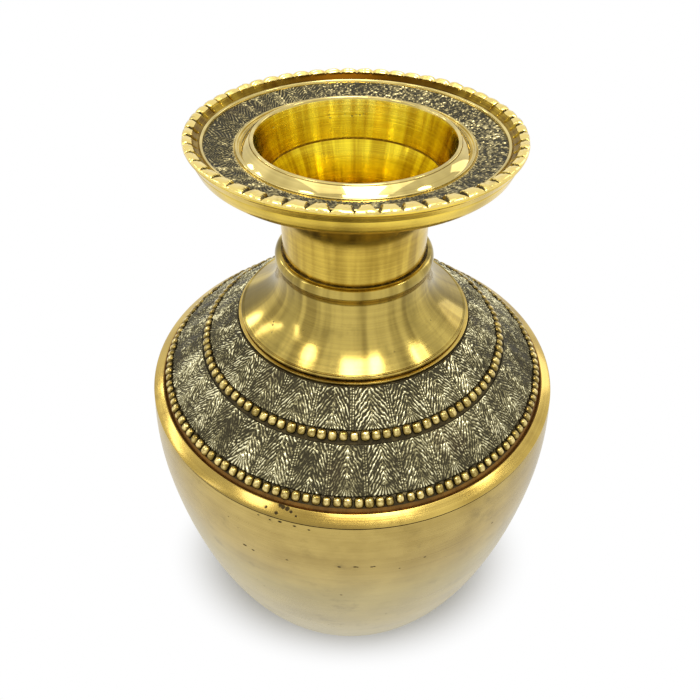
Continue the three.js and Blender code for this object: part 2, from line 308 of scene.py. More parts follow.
def shoulder_profile():
    """Spigot, polished band, cone with a cove under each ring of beads, ledge, inside."""
    radius = np.linspace(CONE_FOOT[0] - 0.25, CONE_TOP[0] + 0.15, 150)
    sunk = 0.28 + 0 * radius
    for beads in (INNER_BEADS, OUTER_BEADS):
        off = np.abs(radius - beads["radius"]) / (beads["length"] / 2 + 0.15)
        sunk = np.where(off < 1.0, 0.28 * ease(0.3, 0.95, off), sunk)
    slope = cone_slope(radius)
    cone = np.stack(
        [radius - sunk * np.sin(slope), cone_height(radius) - sunk * np.cos(slope)], axis=1
    )
    band = fillet(
        [
            (BOWL_SPIGOT - 2, SPIGOT_FOOT, 0), (BOWL_SPIGOT, SPIGOT_FOOT, 0.3),
            (BOWL_SPIGOT, SHOULDER_FOOT, 0), (59.97, SHOULDER_FOOT, 0.1),
            (59.97, SHOULDER_FOOT + 0.32, 0.22), (59.2, SHOULDER_FOOT + 0.72, 0.22),
            (57.05, 116.0, 0.22), (56.55, 115.78, 0.22), (56.35, 115.62, 0.05),
        ]
    )
    ledge = fillet(
        [
            (32.62, 134.85, 0.0), (32.62, SEAT_TOP, 0.16), (28.6, SEAT_TOP, 0),
            (28.6, 133.0, 0.3), (30.9, 132.9, 0.5), (54.2, 114.4, 0.5),
        ]
    )
    return np.concatenate([band, cone, ledge])


def bead_ring(name, radius, length, count, height, seed):
    """Beads sunk in the cone: each is a dome over a rounded outline,
    across = w/2 cos(u)^p, along = l/2 sin(u)^p (p below 1 squares the outline),
    lift = h sqrt(1 - t²) for t from the middle to the rim, each a little uneven.
    """
    spin = np.random.default_rng(seed)
    around, rings = 10, 4
    width = 2 * np.pi * radius / count * 0.98
    turn_angle = column_angles(around) + np.pi / around
    share = np.array([1.0, 0.97, 0.78, 0.45])[:, None]
    lift = np.array([-0.45, 0.3, 0.72, 0.95])[:, None] * height
    square = 0.72
    cosine, sine = np.cos(turn_angle), np.sin(turn_angle)
    across = share * width / 2 * np.sign(cosine) * np.abs(cosine) ** square
    outward = share * length / 2 * np.sign(sine) * np.abs(sine) ** square
    across = np.append(across.ravel(), [0.0, 0.0])
    outward = np.append(outward.ravel(), [0.0, 0.0])
    lifts = np.append((lift + 0 * turn_angle).ravel(), [-0.45 * height, height])
    size = 1 + spin.uniform(-0.11, 0.06, (count, 1))
    centre = column_angles(count)[:, None] + spin.uniform(-0.0025, 0.0025, (count, 1))
    place_at = radius + outward * size + spin.uniform(-0.12, 0.12, (count, 1))
    tilt = spin.uniform(-0.06, 0.06, (count, 1)) * across
    points = on_cone(place_at, centre + across * size / radius, lifts * size + tilt * (lifts > 0))
    dots = around * rings
    index = np.arange(dots).reshape(rings, around)
    shift = (np.arange(count) * (dots + 2))[:, None, None]
    quads = bands(index[:-1], index[1:])[:, ::-1] + shift
    fans = caps(index, dots, dots + 1)[:, ::-1] + shift
    # The bead's height sets its colour: the rubbed-bright top also carries a painted highlight,
    # and the low sides carry painted shade.
    recess = 1 - np.clip(lifts / height, 0, 1) + 0 * centre
    return build_mesh(
        name, points.reshape(-1, 3), quads.reshape(-1, 4), fans.reshape(-1, 3), None,
        {"recess": recess},
    )


def leaf_relief(across, down, long, wide, cell, seed):
    """Relief 0 to 1 of one chased cell between two granulated cords.

    Needles run from the spine out and down: ridges of
    cos(2 pi (down / (1 + 0.3 off) - 1.2 off) / pitch), off from 0 at the spine, with a drift
    in the phase and breaks along them. At the foot they give way to a tuft that fans out
    from a point on the spine. A low dome lifts the middle, and each cell and side has its
    own spacing, slant and strength. Returns the relief and the share of it that is crest.
    """
    spin = np.random.default_rng(seed)
    jitter = spin.uniform(-1, 1, (10, 64))
    side = (across > 0).astype(int)
    off = np.abs(across)
    half = wide / 2 - 0.66
    pitch = 1.22 * (1 + 0.08 * jitter[0][cell])
    steep = 1.15 + 0.2 * jitter[1 + side, cell]
    drift = 0.3 * value_noise(across * 0.9 + 11 * cell, down * 0.6, seed + 1)
    drift = drift + 0.2 * value_noise(across * 2.1 + 3 * cell, down * 1.7, seed + 6)
    splay = 1 + (0.3 + 0.1 * jitter[8][cell]) * off / half
    phase = (down / splay - steep * off) / pitch + 0.3 * jitter[3 + side, cell] + drift
    needle = (0.5 + 0.5 * np.cos(2 * np.pi * phase)) ** 1.1
    run = down + 0.7 * off
    broken = value_noise((down / splay - steep * off) * 1.9 + 5 * cell, run * 1.5, seed + 4)
    needle = needle * np.clip(0.72 + 0.62 * broken, 0, 1.15)
    root = long * (0.74 + 0.05 * jitter[5][cell])
    below = down - root
    fan_angle = np.arctan2(across, np.maximum(below, 0) + 0.25)
    spokes = (0.5 + 0.5 * np.cos(fan_angle * (2 * np.pi / 0.24) + jitter[6][cell])) ** 1.1
    in_fan = ease(1.0, 0.75, np.abs(fan_angle)) * ease(-0.1, 0.7, below)
    needle = needle * (1 - in_fan) + spokes * in_fan * np.clip(0.8 + 0.5 * broken, 0, 1.1)
    spine = np.exp(-((across / 0.26) ** 2)) * ease(0.2, 1.0, down) * (1 - ease(0, 0.5, below))
    needle = np.maximum(needle, (0.55 + 0.4 * broken) * spine)
    leaf = ease(0.0, 0.2, half + 0.04 - off)
    worn = 0.8 + 0.34 * value_noise(across * 0.45 + 7 * cell, down * 0.4, seed + 2)
    worn = worn + 0.14 * jitter[9][cell]
    dome = np.clip(1 - (off / half) ** 2, 0, 1) * (0.55 + 0.45 * ease(0, 0.4, down / long))
    border = wide / 2 - off
    loose = value_noise(down * 1.6 + 9 * cell, 4.0 * side + 0 * down, seed + 7)
    grain = 0.5 + 0.5 * np.cos(2 * np.pi * down / 0.7 + 2 * jitter[7][cell] + 2.4 * loose)
    cord = np.exp(-(((border - 0.3 - 0.06 * loose) / 0.21) ** 2)) * (0.25 + 0.75 * grain)
    ends = ease(0, 0.22, down) * ease(0, 0.22, long - down)
    crest = np.clip(np.maximum(leaf * needle * worn, (0.78 + 0.3 * loose) * cord), 0, 1)
    relief = 0.36 * leaf * dome + 0.58 * crest
    return relief * ends, crest * ends


def leaf_band(name, inner, outer, count, phase, columns, rows, seed):
    """A ring of chased leaves: the cone lifted by 0.72 mm times the relief, closed by an
    underside 0.7 mm lower. Rows run from the outer edge up to the inner edge."""
    angle = column_angles(columns)
    radius = np.linspace(outer, inner, rows)[:, None]
    turns = (angle - phase) * count / (2 * np.pi)
    cell = np.floor(turns).astype(int)
    wide = 2 * np.pi * radius / count
    across = (turns - cell - 0.5) * wide
    stretch = 1 / math.cos(float(cone_slope(np.array((inner + outer) / 2))))
    down = (radius - inner) * stretch + 0 * across
    long = (outer - inner) * stretch
    relief, crest = leaf_relief(across, down, long, wide, cell % count, seed)
    cells = columns // 3
    hammer = value_noise(turns * cells / count, down * 2.2, seed + 3, cells)
    relief = relief + 0.045 * hammer
    lift = LEAF_RELIEF * relief - 0.06
    top = on_cone(radius + 0 * angle, angle + 0 * radius, lift)
    under_radius = np.array([[inner], [outer]])
    under = on_cone(under_radius + 0 * angle, angle + 0 * under_radius, -0.7 + 0 * angle)
    recess = np.concatenate([1 - crest, np.ones((2, columns))])
    return wrap_mesh(name, np.concatenate([top, under]), recess=recess)


# ---- Collar and neck


def collar_profile():
    """Spigot, thin foot, flare and roll. The flare is the conic
    ((1-t)² A + 3 t (1-t) C + t² B) / ((1-t)² + 3 t (1-t) + t²): it leaves the foot A at
    29 degrees and nears the roll B upright, C being the corner of the two directions. The
    crease there is rounded, and the roll is half of an ellipse, 1.5 mm by 2.1 mm."""
    flare_foot = COLLAR_FOOT + 0.5
    angle = np.radians(np.linspace(-53.1, 100, 46))
    ring = COLLAR_WAIST + 0.15 - 0.6 * ROLL_RADIUS
    roll = np.stack(
        [ring + ROLL_RADIUS * np.cos(angle), ROLL_CENTRE + ROLL_HEIGHT * np.sin(angle)], axis=1
    )
    start, end = np.array([COLLAR_RADIUS - 0.85, flare_foot + 0.24]), roll[0]
    corner = np.array([end[0], start[1] + (start[0] - end[0]) * math.tan(math.radians(29))])
    t = np.linspace(0, 1, 90)[:, None]
    flare = (1 - t) ** 2 * start + 3 * t * (1 - t) * corner + t**2 * end
    flare = (flare / ((1 - t) ** 2 + 3 * t * (1 - t) + t**2))[:-1]
    low = np.searchsorted(flare[:, 1], end[1] - 1.1)
    crease = fillet([(*flare[low], 0), (*end, 0.84), (*roll[8], 0)], 8)
    flare, roll = np.concatenate([flare[:low], crease[:-1]]), roll[8:]
    foot = fillet(
        [
            (COLLAR_SPIGOT - 2, COLLAR_FOOT - 5, 0), (COLLAR_SPIGOT, COLLAR_FOOT - 5, 0.3),
            (COLLAR_SPIGOT, COLLAR_FOOT, 0), (COLLAR_RADIUS, COLLAR_FOOT, 0.16),
            (COLLAR_RADIUS, flare_foot, 0.2), (COLLAR_RADIUS - 0.3, flare_foot + 0.16, 0.12),
            (COLLAR_RADIUS - 0.62, flare_foot + 0.02, 0.05),
            (COLLAR_RADIUS - 0.78, flare_foot + 0.12, 0.05),
        ]
    )
    inside = flare[(flare[:, 0] < 27.5) & (flare[:, 1] < 149)] - [2.0, 1.2]
    inside = inside[(inside[:, 1] < 147.5) & (inside[:, 0] > COLLAR_LEDGE)]
    bore = [[COLLAR_BORE, COLLAR_TOP - 0.2], [COLLAR_BORE, NECK_FOOT]]
    bore = np.array([*bore, [COLLAR_LEDGE, NECK_FOOT], [COLLAR_LEDGE, NECK_FOOT - 2]])
    tail = np.array([[COLLAR_SPIGOT - 2, COLLAR_FOOT]])
    return np.concatenate([foot, flare, roll, bore, inside[::-1], tail])


def bell(start, end, tall):
    """Arc that leaves the upright tube at its foot and opens to the bell's edge."""
    turn_by = 2 * math.atan((end - start) / tall)
    size = tall / math.sin(turn_by)
    angle = np.linspace(math.pi, math.pi - turn_by, 24)
    foot = NECK_TOP - tall
    return np.stack([start + size + size * np.cos(angle), foot + size * np.sin(angle)], axis=1)


def neck_walls():
    """The tube's bell outside and inside. It starts higher outside."""
    outside = bell(NECK_RADIUS, BELL_RADIUS, BELL_OUTSIDE)
    return outside, bell(NECK_RADIUS - NECK_WALL, BELL_RADIUS - BELL_WALL, BELL_INSIDE)


def neck_profile():
    """Plain tube with a bell at its upper end."""
    foot = np.array([[NECK_RADIUS - NECK_WALL, NECK_FOOT], [NECK_RADIUS, NECK_FOOT]])
    outside, inside = neck_walls()
    return np.concatenate([foot, outside, inside[::-1]])


def neck_middle():
    """Heights and radii half-way through the tube's wall."""
    outside, inside = neck_walls()
    heights = np.linspace(NECK_TOP - BELL_INSIDE, NECK_TOP, 24)
    radii = np.interp(heights, *outside.T[::-1]) + np.interp(heights, *inside.T[::-1])
    return (
        np.append(NECK_FOOT - 1, heights),
        np.append(NECK_RADIUS - NECK_WALL / 2, radii / 2),
    )


# ---- Mouth dish: throat and lip, chased floor, notched rim


def throat_profile():
    """Bore, lip with a round inner edge, a fine line beside it, a convex slope, a groove and
    a small bead at its foot, and the metal under it. The slope falls by
    2.3 (0.424 u + 0.238 u²) while u runs from 0 inside to 1 outside, 2.3 mm further out."""
    u = np.linspace(1, 0, 22)
    slope = np.stack(
        [LIP_FOOT - 3.12 + 2.3 * u, LIP_LEVEL - 0.3 - 2.3 * (0.424 * u + 0.238 * u**2)], axis=1
    )
    low = FLOOR_LEVEL - 0.3
    edge = fillet(
        [
            (LIP_FOOT + 1.2, low - 0.6, 0), (LIP_FOOT + 1.2, low, 0.1),
            (LIP_FOOT + 0.42, low + 0.02, 0.12), (LIP_FOOT + 0.2, low - 0.2, 0.1),
            (LIP_FOOT + 0.12, low + 0.44, 0.24), (LIP_FOOT - 0.38, low + 0.46, 0.2),
            (LIP_FOOT - 0.52, low - 0.12, 0.1), (LIP_FOOT - 0.76, low - 0.14, 0.08),
        ]
    )
    mouth = fillet(
        [
            (24.54, LIP_LEVEL - 0.36, 0.05), (24.44, LIP_LEVEL + 0.02, 0.26),
            (THROAT_RADIUS + 0.1, LIP_LEVEL, 0.3),
            (THROAT_RADIUS - 0.12, LIP_LEVEL - 0.75, 0.2), (21.6, 174.6, 0.1), (23.3, 174.6, 0),
            (23.3, 173.9, 0), (24.2, 173.9, 0.3), (24.8, 175.6, 1.5),
            (27.4, 180.0, 2.0),
        ],
        7,
    )
    return np.concatenate([edge, slope, mouth])


def dish_floor(name, inner, outer, columns, rows, seed):
    """The chased floor, from the rim's bead in to the lip: height
    rise (r - inner) / (outer - inner) plus 0.34 mm of short needles, which lie
    in a zigzag on one side and break up into punched grains on the other."""
    angle = column_angles(columns)
    radius = np.linspace(outer, inner, rows)[:, None]
    arc = angle * 31.7
    bend = 1.1 * value_noise(arc * 0.35, radius * 0.35, seed, 70)
    zigzag = np.abs((angle * 42 / (2 * np.pi)) % 1 - 0.5) * 4.6
    phase = (radius - inner) + zigzag + bend
    needle = (0.5 + 0.5 * np.cos(2 * np.pi * phase / 0.95)) ** 1.4
    cells = 430
    grains = value_noise(angle * cells / (2 * np.pi), radius * 2.2, seed + 1, cells)
    grains = 0.5 + 0.5 * grains + 0.25 * value_noise(
        angle * 2 * cells / (2 * np.pi), radius * 4.4, seed + 2, 2 * cells
    )
    grains = np.clip(grains, 0, 1)
    mix = ease(-0.35, 0.45, np.cos(angle - 0.35)) + 0 * radius
    crest = np.clip(needle * (0.35 + 0.65 * grains) * (1 - mix) + grains**1.3 * mix, 0, 1)
    ends = ease(0, 0.3, radius - inner) * ease(0, 0.3, outer - radius)
    rise = 1.6 * (radius - inner) / (outer - inner)
    height = FLOOR_LEVEL - 0.42 + rise + (FLOOR_RELIEF * crest - 0.05) * ends
    under = turn(np.array([[inner, FLOOR_LEVEL - 2.8], [outer, FLOOR_LEVEL - 2.6]]), columns)
    grid = np.concatenate([on_circle(radius, angle, height), under])
    recess = np.concatenate([1 - crest, np.ones((2, columns))])
    return wrap_mesh(name, grid, recess=recess)


def rim_profile():
    """Underside, leaning wall with a faint turned line, half-round rim that eases off
    inwards, cove and bead. The cove is a quarter of the ellipse r = 35.3 + 0.52 cos(u),
    z = 186.3 - 1.5 sin(u)."""
    wall = fillet(
        [
            (24.8, 180.0, 0), (35.9, 180.2, 0.4), (36.94, 181.2, 0.6),
            (37.9, 183.8, 0.1), (37.86, 183.95, 0.05), (38.62, 185.4, 0.05),
        ]
    )
    crown = fillet(
        [
            (38.72, 185.5, 0.0), (39.05, 185.9, 0.25), (39.02, 186.62, 0.4),
            (38.55, 187.02, 0.4), (37.2, 187.0, 0.8), (35.98, 186.66, 0.35),
            (35.85, 186.4, 0.1),
        ],
        6,
    )
    u = np.linspace(0.08, np.pi / 2 - 0.1, 10)
    cove = np.stack([35.3 + 0.52 * np.cos(u), 186.3 - 1.5 * np.sin(u)], axis=1)
    bead = fillet(
        [
            (35.4, 184.7, 0.06), (35.3, 185.14, 0.2), (34.72, 185.08, 0.22),
            (34.6, 184.3, 0),
        ],
        4,
    )
    tail = np.array([[34.6, 181.5], [24.8, 181.0]])
    return np.concatenate([wall, crown, cove, bead, tail])


def notched_rim(name):
    """The rim's turned profile with 54 filed notches: above
    z = crown - 0.5 - 1.9 s + 2.2 |across| the metal is gone, where s grows from 0 at the
    rim's outer edge to 1 near its inner one. Columns crowd towards each notch, and the pads
    between are a little crowned. The crown's inner edge is off-centre: it lies 1 mm further
    out all round but on the near side. On the far side the notches are shallower."""
    per_notch = 20
    fine = np.linspace(-0.5, 0.5, per_notch, endpoint=False)
    share = 0.62 * np.sign(fine) * np.abs(2 * fine) ** 1.5 / 2 + 0.38 * fine
    pitch = 2 * np.pi / NOTCHES
    angle = ((np.arange(NOTCHES)[:, None] + 0.5) * pitch + share * pitch).ravel()
    profile = rim_profile()
    radius = profile[:, 0, None] + 0 * angle
    height = profile[:, 1, None] + 0 * angle
    high = ease(184.9, 186.2, height)
    wider = 1.2 * ease(-1.0, -0.35, np.sin(angle)) - 0.25
    radius = radius + wider * ease(38.0, 36.4, radius) * high
    spin = np.random.default_rng(5)
    number = np.repeat(np.arange(NOTCHES), per_notch)
    deep = 1 + 0.16 * spin.uniform(-1, 1, NOTCHES)[number]
    deep = deep * (1 - 0.55 * ease(0.2, 0.9, np.sin(angle)))
    lean = 0.3 * spin.uniform(-1, 1, NOTCHES)[number]
    off = np.tile(share * pitch, NOTCHES) * NOTCH_RADIUS + lean * (radius - NOTCH_RADIUS) / 2.5
    inward = np.clip((39.0 - radius) / 2.5, 0, 1.05)
    floor = RIM_LEVEL - (0.5 + 1.9 * inward) * deep + 2.2 * np.abs(off)
    rim = (profile[:, 1, None] > 185.3) & (profile[:, 0, None] > 35.5)
    edge = np.tile(np.abs(2 * share), NOTCHES)
    uneven = 0.1 * spin.uniform(-1, 1, NOTCHES)[number] * ease(0.0, 0.5, edge)
    drop = 0.15 + 0.4 * ease(-0.6, 0.8, np.sin(angle))
    pad = height - (drop * (1 - edge) ** 2.6 + 0.12 - uneven) * ease(185.8, 186.7, height)
    cut = np.where(rim, np.minimum(pad, floor), height)
    recess = np.clip((pad - cut) / 0.2, 0, 1)
    along = arc_length(profile)[:, None] + 0 * angle
    grid = on_circle(radius, angle, cut)
    return wrap_mesh(name, grid, sharp=38, along=along, recess=recess)


# ---- Materials


class Number:
    """A number that changes over a surface. Arithmetic on it adds Math nodes."""

    def __init__(self, recipe, socket):
        self.recipe, self.socket = recipe, socket

    def math(self, operation, *values, clamp=False):
        settings = {"operation": operation, "use_clamp": clamp}
        return self.recipe.node("ShaderNodeMath", settings, dict(enumerate(values)))

    def __add__(self, other):
        return self.math("ADD", self, other)

    def __radd__(self, other):
        return self.math("ADD", other, self)

    def __sub__(self, other):
        return self.math("SUBTRACT", self, other)

    def __rsub__(self, other):
        return self.math("SUBTRACT", other, self)

    def __mul__(self, other):
        return self.math("MULTIPLY", self, other)

    def __rmul__(self, other):
        return self.math("MULTIPLY", other, self)

    def top(self, other):
        return self.math("MAXIMUM", self, other)

    def low(self, other):
        return self.math("MINIMUM", self, other)

    def clamp(self):
        return self.math("ADD", self, 0.0, clamp=True)

    def ease(self, low, high):
        """0 at low, 1 at high (which may be the smaller), smooth between."""
        return self.recipe.node(
            "ShaderNodeMapRange",
            {"interpolation_type": "SMOOTHSTEP", "clamp": True},
            {"Value": self, "From Min": low, "From Max": high},
        )


class Recipe:
    """The node tree of one material, or of the world."""

    def __init__(self, owner):
        owner.use_nodes = True
        self.owner, self.tree = owner, owner.node_tree
        self.tree.nodes.clear()

    def node(self, kind, settings=None, sockets=None, output=0):
        """A node of that type: settings first, then values or links for its sockets."""
        made = self.tree.nodes.new(kind)
        for key, value in (settings or {}).items():
            setattr(made, key, value)
        for key, value in (sockets or {}).items():
            socket = made.inputs[key]
            if isinstance(value, Number):
                self.tree.links.new(value.socket, socket)
            else:
                socket.default_value = value
        return Number(self, made.outputs[output]) if made.outputs else None

    def outputs(self, kind, sockets, *names):
        """Several outputs of one node."""
        made = self.node(kind, sockets=sockets).socket.node
        return [Number(self, made.outputs[name]) for name in names]

    def position(self):
        return self.node("ShaderNodeTexCoord", output="Object")

    def attribute(self, name):
        return self.node("ShaderNodeAttribute", {"attribute_name": name}, output="Fac")

    def split(self, vector):
        return self.outputs("ShaderNodeSeparateXYZ", {0: vector}, 0, 1, 2)

    def direction(self):
        """Cosine and sine of the place's angle round Z, as on a circle of radius 1."""
        x, y, _ = self.split(self.position())
        across = self.vector(x, y, 0.0)
        flat = self.node("ShaderNodeVectorMath", {"operation": "NORMALIZE"}, {0: across})
        return self.split(flat)[:2]

    def vector(self, x, y, z):
        return self.node("ShaderNodeCombineXYZ", sockets={0: x, 1: y, 2: z})

    def noise(self, vector, scale, detail=2.0, rough=0.5):
        return self.node(
            "ShaderNodeTexNoise",
            {"noise_dimensions": "3D"},
            {"Vector": vector, "Scale": scale, "Detail": detail, "Roughness": rough},
            "Fac",
        )

    def mix(self, factor, first, second):
        """Colour mix; colours are (r, g, b) or links."""

        def full(colour):
            return colour if isinstance(colour, Number) else (*colour, 1)

        return self.node(
            "ShaderNodeMix",
            {"data_type": "RGBA", "blend_type": "MIX", "clamp_factor": True},
            {0: factor, 6: full(first), 7: full(second)},
            2,
        )

    def bump(self, height, strength, distance):
        sockets = {"Height": height, "Strength": strength, "Distance": distance * MM}
        return self.node("ShaderNodeBump", sockets=sockets)

    def finish(self, colour, roughness, normal, metallic=1.0, **constants):
        sockets = {"Base Color": colour, "Roughness": roughness, "Metallic": metallic}
        sockets["Normal"] = normal
        sockets.update({key.replace("_", " "): value for key, value in constants.items()})
        shader = self.node("ShaderNodeBsdfPrincipled", sockets=sockets)
        self.node("ShaderNodeOutputMaterial", sockets={"Surface": shader})
        return self.owner


def turning_lines(recipe, fine, coarse):
    """Noise stretched round the axis: lines every 1/fine and 1/coarse mm of profile."""
    x, y, _ = recipe.split(recipe.position())
    along = recipe.attribute("along")
    sharp = recipe.noise(recipe.vector(x * 18.0, y * 18.0, along * fine), 1.0, 3.0, 0.6)
    broad = recipe.noise(recipe.vector(x * 9.0, y * 9.0, along * coarse + 40.0), 1.0, 2.0)
    return sharp, broad


def stripes(recipe, count, shift):
    """Noise that changes round the axis, about count times in a radian, and hardly along it:
    the bright and dull bands down a turned wall, partly marks that a polishing mop leaves, partly
    painted reflections running down the metal."""
    height = recipe.split(recipe.position())[2]
    across, deep = recipe.direction()
    return recipe.noise(recipe.vector(across, deep, height * 4.0 + shift), count, 2.0, 0.6)


def spots(recipe, places):
    """Small dark pits: 1 within a pit's size of its place (angle in degrees, radius and
    height in mm), 0 a little outside it, with a ragged edge."""
    flat = 1.6
    x, y, z = recipe.split(recipe.position())
    position = recipe.vector(x, y, z * flat)
    ragged = 0.6 + recipe.noise(position, 1400.0, 2.0) * 0.9
    mask = None
    for degrees, radius, height, size in places:
        a = math.radians(degrees)
        centre = (radius * MM * math.cos(a), radius * MM * math.sin(a), height * flat * MM)
        distance = recipe.node(
            "ShaderNodeVectorMath", {"operation": "DISTANCE"}, {0: position, 1: centre}, "Value"
        )
        spot = (distance * ragged).ease(size * MM, size * MM * 0.45)
        mask = spot if mask is None else mask.top(spot)
    return mask


def turned_brass(name, light, deep, rough, lines=0.25, aniso=0.4, pits=None, **options):
    """Turned and polished brass: tone drifts between two golds, fine turning lines in
    tone, gloss and bump, bright and dull bands down the wall that are mop marks and painted
    reflections, soft tarnish clouds, scattered pinholes. Options: stripes (count, share, shift)
    for those bands, streaks (angle and width in degrees, share) as painted dark
    reflections at set angles, shade (heights in mm, share and colour) as painted reflections that
    change the colour by height, smears and cloudy (tarnish across the turning), edge (tint at a
    flat angle)."""
    recipe = Recipe(bpy.data.materials.new(name))
    position = recipe.position()
    sharp, broad = turning_lines(recipe, options.get("fine", 3.0), options.get("coarse", 0.7))
    cloud = recipe.noise(position, 45.0, 3.0, 0.55)
    tone = (cloud * 0.6 + broad * 0.5 + sharp * 0.25 - 0.17).ease(0.25, 0.8)
    if "smears" in options:
        x, y, z = recipe.split(position)
        smear = recipe.noise(recipe.vector(x, y, z * 3.5), options["smears"], 4.0, 0.6)
        tone = tone * 0.45 + smear.ease(0.3, 0.7) * 0.55
    if "cloudy" in options:
        share = options["cloudy"]
        tone = tone * (1 - share) + recipe.noise(position, 75.0, 4.0, 0.6).ease(0.35, 0.65) * share
    count, share, shift = options["stripes"]
    # Bands round the axis: mop marks and painted reflections.
    stripe = stripes(recipe, count, shift).ease(0.33, 0.67)
    tone = tone * (1 - share) + stripe * share + (sharp - 0.5) * options.get("scratch", 0.3)
    colour = recipe.mix(tone.clamp(), deep, light)
    # Painted dark reflections: the colour turns darker where the wall faces each listed angle.
    for degrees, width, share in options.get("streaks", []):
        a = math.radians(degrees)
        across, far = recipe.direction()
        facing = across * math.cos(a) + far * math.sin(a) + (cloud - 0.5) * 0.03
        streak = facing.ease(math.cos(math.radians(width)), 1.0) * share
        colour = recipe.mix(streak, colour, tuple(0.5 * c for c in deep))
    # Painted reflections by height: between the two heights the colour blends to the listed tint.
    for low, high, share, tint in options.get("shade", []):
        level = recipe.split(position)[2] + (cloud - 0.5) * 0.004 + (sharp - 0.5) * 0.004
        patchy = (1 - share) + stripe * (2 * share - 1) if share > 0.5 else share
        colour = recipe.mix(level.ease(low * MM, high * MM) * patchy, colour, tint)
    tarnish = recipe.noise(position, 110.0, 4.0, 0.65).ease(0.55, 0.8)
    tarnish = tarnish * options.get("tarnish", 0.3)
    colour = recipe.mix(tarnish, colour, tuple(0.62 * c for c in deep))
    pinhole = recipe.node(
        "ShaderNodeTexVoronoi", {"feature": "F1"}, {"Vector": position, "Scale": 330.0}, "Distance"
    ).ease(0.11, 0.06)
    rare = recipe.noise(position, 70.0, 1.0).ease(0.6, 0.68)
    dark = pinhole * rare * 0.6
    if pits:
        dark = dark.top(spots(recipe, pits))
    colour = recipe.mix(dark, colour, (0.045, 0.030, 0.012))
    gloss = rough + (sharp - 0.5) * lines * 0.5 + (cloud - 0.5) * (0.4 * rough) + dark * 0.4
    height = sharp * 0.7 + broad * 0.3 - dark * 2.0
    return recipe.finish(
        colour,
        gloss.top(0.04).low(0.9),
        recipe.bump(height, lines, 0.05),
        Anisotropic=aniso,
        Anisotropic_Rotation=0.25,
        Coat_Weight=(1 - dark) * options["coat"] if "coat" in options else 0.0,
        Coat_Roughness=options.get("coat_rough", 0.1),
        Specular_Tint=(*options.get("edge", (1.0, 0.97, 0.86)), 1.0),
    )


def antique_brass(name, crest_colour, mid_colour, ground, wear=(0.75, 0.2), **options):
    """Cast brass left dark in its recesses: the relief's own depth blends from a dull
    olive ground through an old gold to crests that are rubbed bright. Fine grit breaks up
    the edges, clouds leave some places dark and rub others bright."""
    recipe = Recipe(bpy.data.materials.new(name))
    position = recipe.position()
    recess = recipe.attribute("recess")
    grit = recipe.noise(position, options.get("grit", 1500.0), 3.0, 0.65)
    patch = recipe.noise(position, options.get("patch", 70.0), 3.0, 0.6)
    depth = recess + (grit - 0.5) * options.get("speckle", 0.5)
    depth = depth + (patch - 0.5) * options.get("patches", 0.6)
    worn = depth.ease(*wear)
    rubbed = depth.ease(wear[1] + 0.14, wear[1] - 0.28)
    colour = recipe.mix(worn, ground, mid_colour)
    colour = recipe.mix(rubbed, colour, crest_colour)
    brown = recipe.noise(position, 38.0, 2.0).ease(0.55, 0.78) * (1.0 - rubbed) * 0.5
    colour = recipe.mix(brown, colour, (0.075, 0.04, 0.022))
    gloss = options.get("rough", 0.5) - worn * 0.14 - rubbed * 0.08 + (grit - 0.5) * 0.2
    normal = recipe.bump(grit, 0.5, 0.05)
    metallic = 0.75 + worn * 0.25
    return recipe.finish(colour, gloss.top(0.12), normal, metallic, Specular_IOR_Level=0.2)


def filler_metal(name, base=(0.030, 0.020, 0.008), gold=(0.22, 0.15, 0.05)):
    """Dull filler in a joint: nearly black with brown and gold specks."""
    recipe = Recipe(bpy.data.materials.new(name))
    position = recipe.position()
    speck = recipe.noise(position, 900.0, 3.0, 0.6)
    patch = recipe.noise(position, 60.0, 2.0)
    colour = recipe.mix(speck.ease(0.45, 0.7), base, gold)
    colour = recipe.mix(patch.ease(0.45, 0.7) * 0.5, colour, (0.30, 0.21, 0.07))
    return recipe.finish(
        colour, 0.55 + (speck - 0.5) * 0.3, recipe.bump(speck, 0.6, 0.08), 0.8,
        Specular_IOR_Level=0.2,
    )


BOWL_PITS = [
    (-116.6, 61.75, 97.4, 0.8), (-114.3, 61.76, 96.8, 0.65), (-92.5, 61.69, 98.8, 0.7),
    (-88.8, 61.68, 99.0, 0.7), (-88.2, 61.68, 98.9, 0.5), (-84.8, 61.7, 98.7, 0.6),
    (-84.2, 61.7, 98.8, 0.5), (-71.8, 61.69, 98.8, 0.5), (-51.7, 61.7, 98.7, 0.5),
    (-105.2, 61.72, 98.1, 0.5), (-92.1, 61.39, 82.4, 0.5), (-99.5, 60.4, 112.6, 0.6),
    (-103.0, 60.35, 112.9, 0.7), (-106.5, 60.3, 113.1, 0.8), (-109.0, 60.3, 112.8, 0.55),
    (-112.0, 60.3, 113.0, 0.5), (-78.0, 61.7, 96.2, 0.4),
]
BAND_PITS = [
    (-106.5, 57.52, 115.77, 0.95), (-104.3, 58.11, 115.49, 0.7), (-107.7, 59.14, 115.0, 0.7),
    (-105.4, 57.65, 115.71, 0.95), (-102.9, 58.8, 115.2, 0.5), (-110.5, 58.6, 115.25, 0.5),
    (-107.2, 57.3, 115.9, 0.9),
]
BORE_PITS = [
    (108.3, 22.72, 180.48, 0.3), (97.5, 22.71, 180.43, 0.25), (92.8, 22.61, 179.9, 0.35),
    (87.5, 22.66, 180.18, 0.3), (84.9, 22.71, 180.46, 0.3), (107.8, 22.57, 179.72, 0.3),
    (102.0, 22.6, 179.9, 0.2), (90.0, 22.6, 180.3, 0.25),
]
